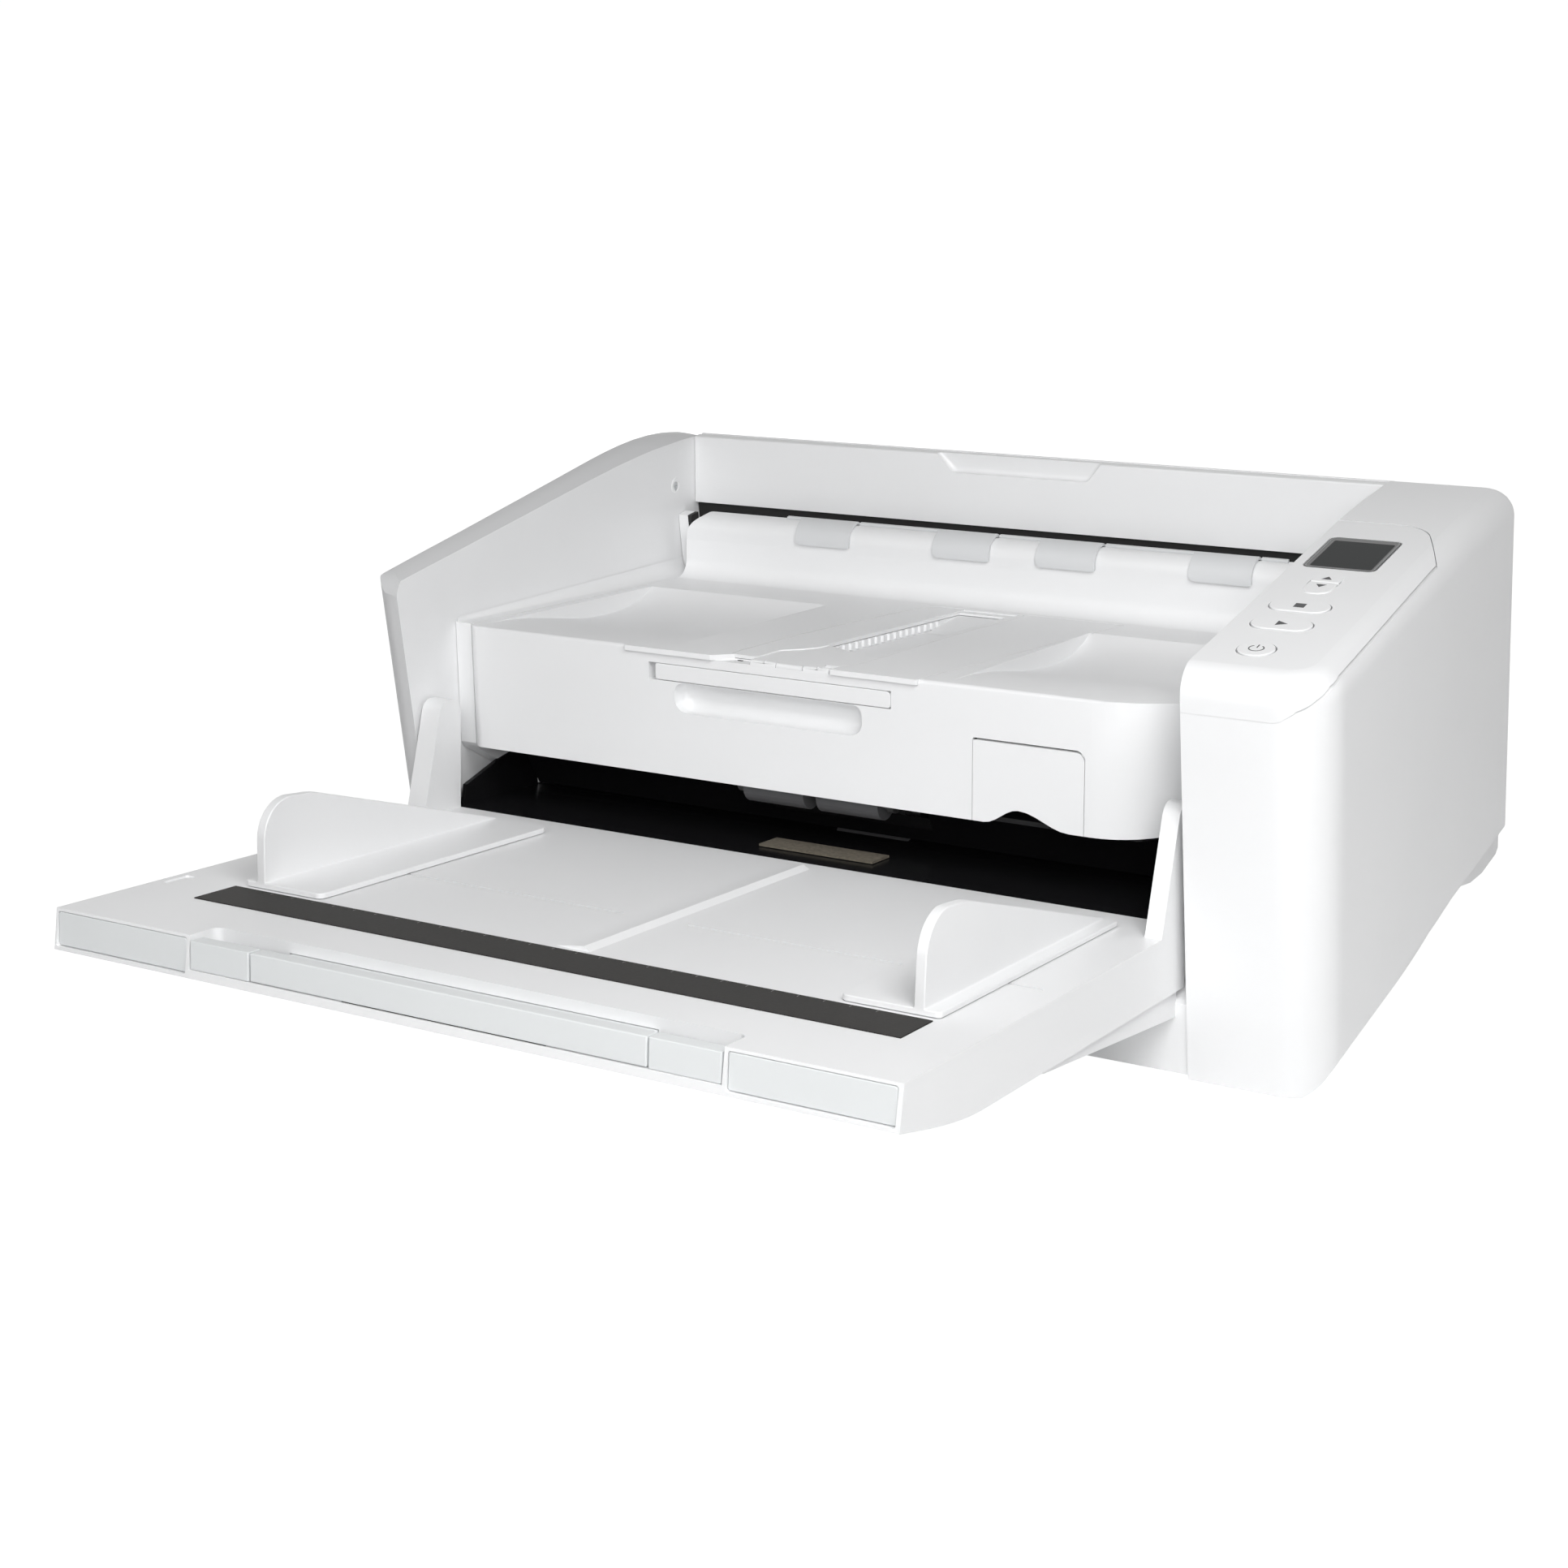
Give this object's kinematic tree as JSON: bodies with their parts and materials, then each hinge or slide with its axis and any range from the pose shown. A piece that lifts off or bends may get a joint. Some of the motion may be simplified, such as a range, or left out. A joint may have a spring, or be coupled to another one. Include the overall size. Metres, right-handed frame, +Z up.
{
  "type": "sheet-fed document scanner",
  "caption": "White desktop sheet-fed scanner with a fold-down feed tray, sliding paper guides, a hinged upper cover, an eject stopper and a control panel on the right.",
  "frame": {"origin": "on the table, under the middle of the scanner's overall box with the feed tray open", "axes": "+X to the right of a person facing the scanner, +Y from the feed tray back to the rear cover, +Z up"},
  "size_m": [0.424, 0.472, 0.1765],
  "materials": {
    "white_plastic": "fine matte moulded plastic, cool white",
    "soft_white_plastic": "matte moulded plastic",
    "button_white": "satin moulded plastic",
    "flap_grey": "light grey moulded plastic",
    "black_plastic": "black moulded plastic",
    "charcoal_plastic": "dark grey moulded plastic",
    "grey_rubber": "matte rubber",
    "dark_rubber": "matte rubber",
    "tan_pad": "matte cork-like pad",
    "display_glass": "glossy dark window",
    "scan_glass": "polished",
    "circuit_board": "green solder mask",
    "bright_steel": "plain"
  },
  "bodies": {
    "body": {"base_chassis": "soft_white_plastic", "left_front_foot": "dark_rubber", "left_rear_foot": "dark_rubber", "right_front_foot": "dark_rubber", "right_rear_foot": "dark_rubber", "left_side_panel": "white_plastic", "right_side_housing": "white_plastic", "control_panel_cap": "white_plastic", "display_window": "display_glass", "button_board": "circuit_board", "main_board": "circuit_board", "power_supply": "bright_steel", "drive_motor": "bright_steel", "drive_belt": "dark_rubber", "feed_bed": "black_plastic", "feed_pad": "tan_pad", "lower_glass": "scan_glass", "lower_scan_unit": "charcoal_plastic", "left_cheek": "white_plastic", "right_cheek": "white_plastic", "eject_wall": "white_plastic", "rear_cover": "white_plastic", "power_inlet": "black_plastic", "data_socket": "black_plastic"},
    "up_button": {"up_button": "button_white"},
    "down_button": {"down_button": "button_white"},
    "stop_button": {"stop_button": "button_white"},
    "scan_button": {"scan_button": "button_white"},
    "power_button": {"power_button": "button_white"},
    "motor_pulley": {"motor_pulley": "bright_steel"},
    "drive_roller": {"drive_roller": "grey_rubber"},
    "exit_roller": {"exit_roller": "grey_rubber"},
    "separation_roller": {"separation_roller": "grey_rubber"},
    "cover": {"top_cover": "white_plastic", "cover_underframe": "black_plastic", "upper_glass": "scan_glass", "upper_scan_unit": "charcoal_plastic", "flap_shaft": "bright_steel"},
    "eject_flap_1": {"eject_flap_1": "flap_grey"},
    "eject_flap_2": {"eject_flap_2": "flap_grey"},
    "eject_flap_3": {"eject_flap_3": "flap_grey"},
    "eject_flap_4": {"eject_flap_4": "flap_grey"},
    "eject_extension": {"eject_extension": "white_plastic"},
    "eject_stopper": {"eject_stopper": "white_plastic"},
    "release_lever": {"cover_release_lever": "white_plastic"},
    "feed_roller": {"feed_roller": "grey_rubber"},
    "idler_roller": {"idler_roller": "grey_rubber"},
    "pickup_arm": {"pickup_arm": "charcoal_plastic"},
    "pickup_rollers": {"pickup_rollers": "grey_rubber"},
    "tray": {"feed_tray": "white_plastic", "tray_bottom": "soft_white_plastic", "size_strip": "charcoal_plastic"},
    "tray_extension": {"tray_extension": "white_plastic"},
    "left_guide": {"left_guide": "white_plastic", "left_rack": "soft_white_plastic"},
    "right_guide": {"right_guide": "white_plastic", "right_rack": "soft_white_plastic"},
    "guide_pinion": {"guide_pinion": "soft_white_plastic"}
  },
  "joints": [
    {"name": "tray_hinge", "type": "hinge", "parent": "body", "child": "tray", "pos_m": [0, -0.004, 0.105], "axis": [-1, 0, 0], "range_deg": [0, 167.8]},
    {"name": "cover_hinge", "type": "hinge", "parent": "body", "child": "cover", "pos_m": [0, 0.216, 0.1225], "axis": [1, 0, 0], "range_deg": [-42, 0]},
    {"name": "extension_slide", "type": "slide", "parent": "tray", "child": "tray_extension", "axis": [0, 0.9774, -0.2113], "range_m": [-0.08, 0]},
    {"name": "left_guide_slide", "type": "slide", "parent": "tray", "child": "left_guide", "axis": [-1, 0, 0], "range_m": [-0.095, 0.0085]},
    {"name": "right_guide_slide", "type": "slide", "parent": "tray", "child": "right_guide", "axis": [1, 0, 0], "range_m": [-0.095, 0.0085]},
    {"name": "pinion_spin", "type": "hinge", "parent": "tray", "child": "guide_pinion", "pos_m": [-0.01575, -0.10663, 0.12719], "axis": [0, 0.2113, 0.9774], "range_deg": [-60, 570]},
    {"name": "eject_extension_slide", "type": "slide", "parent": "cover", "child": "eject_extension", "axis": [0, 0.9836, -0.1805], "range_m": [-0.09, 0]},
    {"name": "stopper_hinge", "type": "hinge", "parent": "cover", "child": "eject_stopper", "pos_m": [0, 0.01898, 0.13863], "axis": [-1, 0, 0], "range_deg": [-100, 0]},
    {"name": "lever_hinge", "type": "hinge", "parent": "cover", "child": "release_lever", "pos_m": [0, 0.01637, 0.11601], "axis": [-1, 0, 0], "range_deg": [0, 25], "stiffness_Nm_per_rad": 0.05, "springref_deg": -11.46},
    {"name": "flap_1_hinge", "type": "hinge", "parent": "cover", "child": "eject_flap_1", "pos_m": [0, 0.215, 0.1305], "axis": [-1, 0, 0], "range_deg": [0, 35]},
    {"name": "flap_2_hinge", "type": "hinge", "parent": "cover", "child": "eject_flap_2", "pos_m": [0, 0.215, 0.1305], "axis": [-1, 0, 0], "range_deg": [0, 35]},
    {"name": "flap_3_hinge", "type": "hinge", "parent": "cover", "child": "eject_flap_3", "pos_m": [0, 0.215, 0.1305], "axis": [-1, 0, 0], "range_deg": [0, 35]},
    {"name": "flap_4_hinge", "type": "hinge", "parent": "cover", "child": "eject_flap_4", "pos_m": [0, 0.215, 0.1305], "axis": [-1, 0, 0], "range_deg": [0, 35]},
    {"name": "feed_roller_spin", "type": "hinge", "parent": "cover", "child": "feed_roller", "pos_m": [0, 0.064, 0.06], "axis": [1, 0, 0], "continuous": true},
    {"name": "idler_roller_spin", "type": "hinge", "parent": "cover", "child": "idler_roller", "pos_m": [0, 0.129, 0.0562], "axis": [1, 0, 0], "continuous": true},
    {"name": "pickup_arm_hinge", "type": "hinge", "parent": "cover", "child": "pickup_arm", "pos_m": [0, 0.0585, 0.078], "axis": [1, 0, 0], "range_deg": [0, 26], "stiffness_Nm_per_rad": 0.15, "springref_deg": -11.46},
    {"name": "pickup_rollers_spin", "type": "hinge", "parent": "pickup_arm", "child": "pickup_rollers", "pos_m": [0, 0.0225, 0.0815], "axis": [1, 0, 0], "continuous": true},
    {"name": "separation_roller_spin", "type": "hinge", "parent": "body", "child": "separation_roller", "pos_m": [0, 0.064, 0.0405], "axis": [1, 0, 0], "continuous": true},
    {"name": "drive_roller_spin", "type": "hinge", "parent": "body", "child": "drive_roller", "pos_m": [0, 0.129, 0.0412], "axis": [1, 0, 0], "continuous": true},
    {"name": "exit_roller_spin", "type": "hinge", "parent": "body", "child": "exit_roller", "pos_m": [0, 0.2265, 0.124], "axis": [1, 0, 0], "continuous": true},
    {"name": "motor_spin", "type": "hinge", "parent": "body", "child": "motor_pulley", "pos_m": [0, 0.184, 0.055], "axis": [1, 0, 0], "continuous": true},
    {"name": "up_button_press", "type": "slide", "parent": "body", "child": "up_button", "axis": [0, -0.0267, 0.9996], "range_m": [-0.001, 0], "stiffness_N_per_m": 400, "springref_m": 0.0005},
    {"name": "down_button_press", "type": "slide", "parent": "body", "child": "down_button", "axis": [0, -0.0267, 0.9996], "range_m": [-0.001, 0], "stiffness_N_per_m": 400, "springref_m": 0.0005},
    {"name": "stop_button_press", "type": "slide", "parent": "body", "child": "stop_button", "axis": [0, -0.0267, 0.9996], "range_m": [-0.001, 0], "stiffness_N_per_m": 400, "springref_m": 0.0005},
    {"name": "scan_button_press", "type": "slide", "parent": "body", "child": "scan_button", "axis": [0, -0.0267, 0.9996], "range_m": [-0.001, 0], "stiffness_N_per_m": 400, "springref_m": 0.0005},
    {"name": "power_button_press", "type": "slide", "parent": "body", "child": "power_button", "axis": [0, -0.0267, 0.9996], "range_m": [-0.001, 0], "stiffness_N_per_m": 400, "springref_m": 0.0005}
  ],
  "couplings": [
    {"joint": "right_guide_slide", "follows": "left_guide_slide", "ratio": 1},
    {"joint": "pinion_spin", "follows": "left_guide_slide", "rad_per_m": -104.17},
    {"joint": "exit_roller_spin", "follows": "drive_roller_spin", "ratio": 2.15},
    {"joint": "motor_spin", "follows": "drive_roller_spin", "ratio": 1.4333},
    {"joint": "pickup_rollers_spin", "follows": "feed_roller_spin", "ratio": 1.0625}
  ]
}
